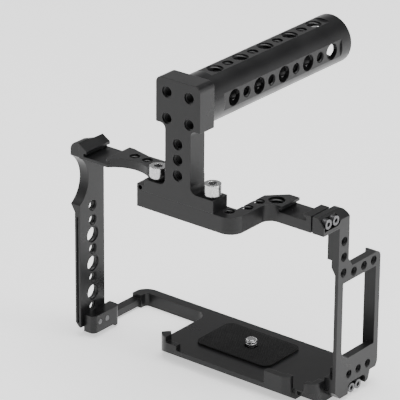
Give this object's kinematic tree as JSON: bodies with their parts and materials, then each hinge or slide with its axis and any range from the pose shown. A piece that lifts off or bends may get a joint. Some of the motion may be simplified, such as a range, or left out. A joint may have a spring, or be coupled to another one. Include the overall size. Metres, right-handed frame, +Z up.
{
  "type": "camera cage",
  "caption": "Open metal cage that screws round a camera body, with a drilled top handle, accessory shoes, a port frame and threaded holes.",
  "frame": {"origin": "under the middle of the width and depth, at the underside of the base plate", "axes": "X along the width towards the port side, Y from the front to the rear, Z up"},
  "size_m": [0.169, 0.136, 0.185],
  "materials": {
    "black": "black anodised, fine bead blasted",
    "pad": "matt with fine ribs",
    "steel": "bright turned",
    "dark_steel": "blackened",
    "ring": "matt"
  },
  "bodies": {
    "cage": {"base_plate": "black", "base_pad": "pad", "grip_plate": "black", "grip_lower_screws": "dark_steel", "grip_upper_screws": "dark_steel", "top_bar": "black", "port_plate": "black", "port_upper_screws": "dark_steel", "port_lower_screws": "dark_steel", "handle_bracket": "black", "handle_tube": "black", "tube_bolt": "dark_steel", "tube_dowels": "dark_steel", "bracket_pins": "dark_steel"},
    "screw_lift": {"screw_clip": "dark_steel"},
    "screw_turn": {"camera_screw": "steel"},
    "bolt_left_lift": {"bolt_ring_left": "ring"},
    "bolt_left_turn": {"handle_bolt_left": "steel"},
    "bolt_right_lift": {"bolt_ring_right": "ring"},
    "bolt_right_turn": {"handle_bolt_right": "steel"}
  },
  "joints": [
    {"name": "screw_play", "type": "slide", "parent": "cage", "child": "screw_lift", "axis": [0, 0, 1], "range_m": [0, 0.001]},
    {"name": "screw_spin", "type": "hinge", "parent": "screw_lift", "child": "screw_turn", "pos_m": [0.015, -0.0075, 0.005], "axis": [0, 0, 1], "continuous": true},
    {"name": "bolt_left_rise", "type": "slide", "parent": "cage", "child": "bolt_left_lift", "axis": [0, 0, 1], "range_m": [0, 0.00508]},
    {"name": "bolt_left_unscrew", "type": "hinge", "parent": "bolt_left_lift", "child": "bolt_left_turn", "pos_m": [-0.0081, -0.062, 0.123], "axis": [0, 0, 1], "range_deg": [0, 1440]},
    {"name": "bolt_right_rise", "type": "slide", "parent": "cage", "child": "bolt_right_lift", "axis": [0, 0, 1], "range_m": [0, 0.00508]},
    {"name": "bolt_right_unscrew", "type": "hinge", "parent": "bolt_right_lift", "child": "bolt_right_turn", "pos_m": [0.0291, -0.062, 0.123], "axis": [0, 0, 1], "range_deg": [0, 1440]}
  ],
  "couplings": [
    {"joint": "bolt_left_unscrew", "follows": "bolt_left_rise", "rad_per_m": 4947.3},
    {"joint": "bolt_right_unscrew", "follows": "bolt_right_rise", "rad_per_m": 4947.3}
  ]
}
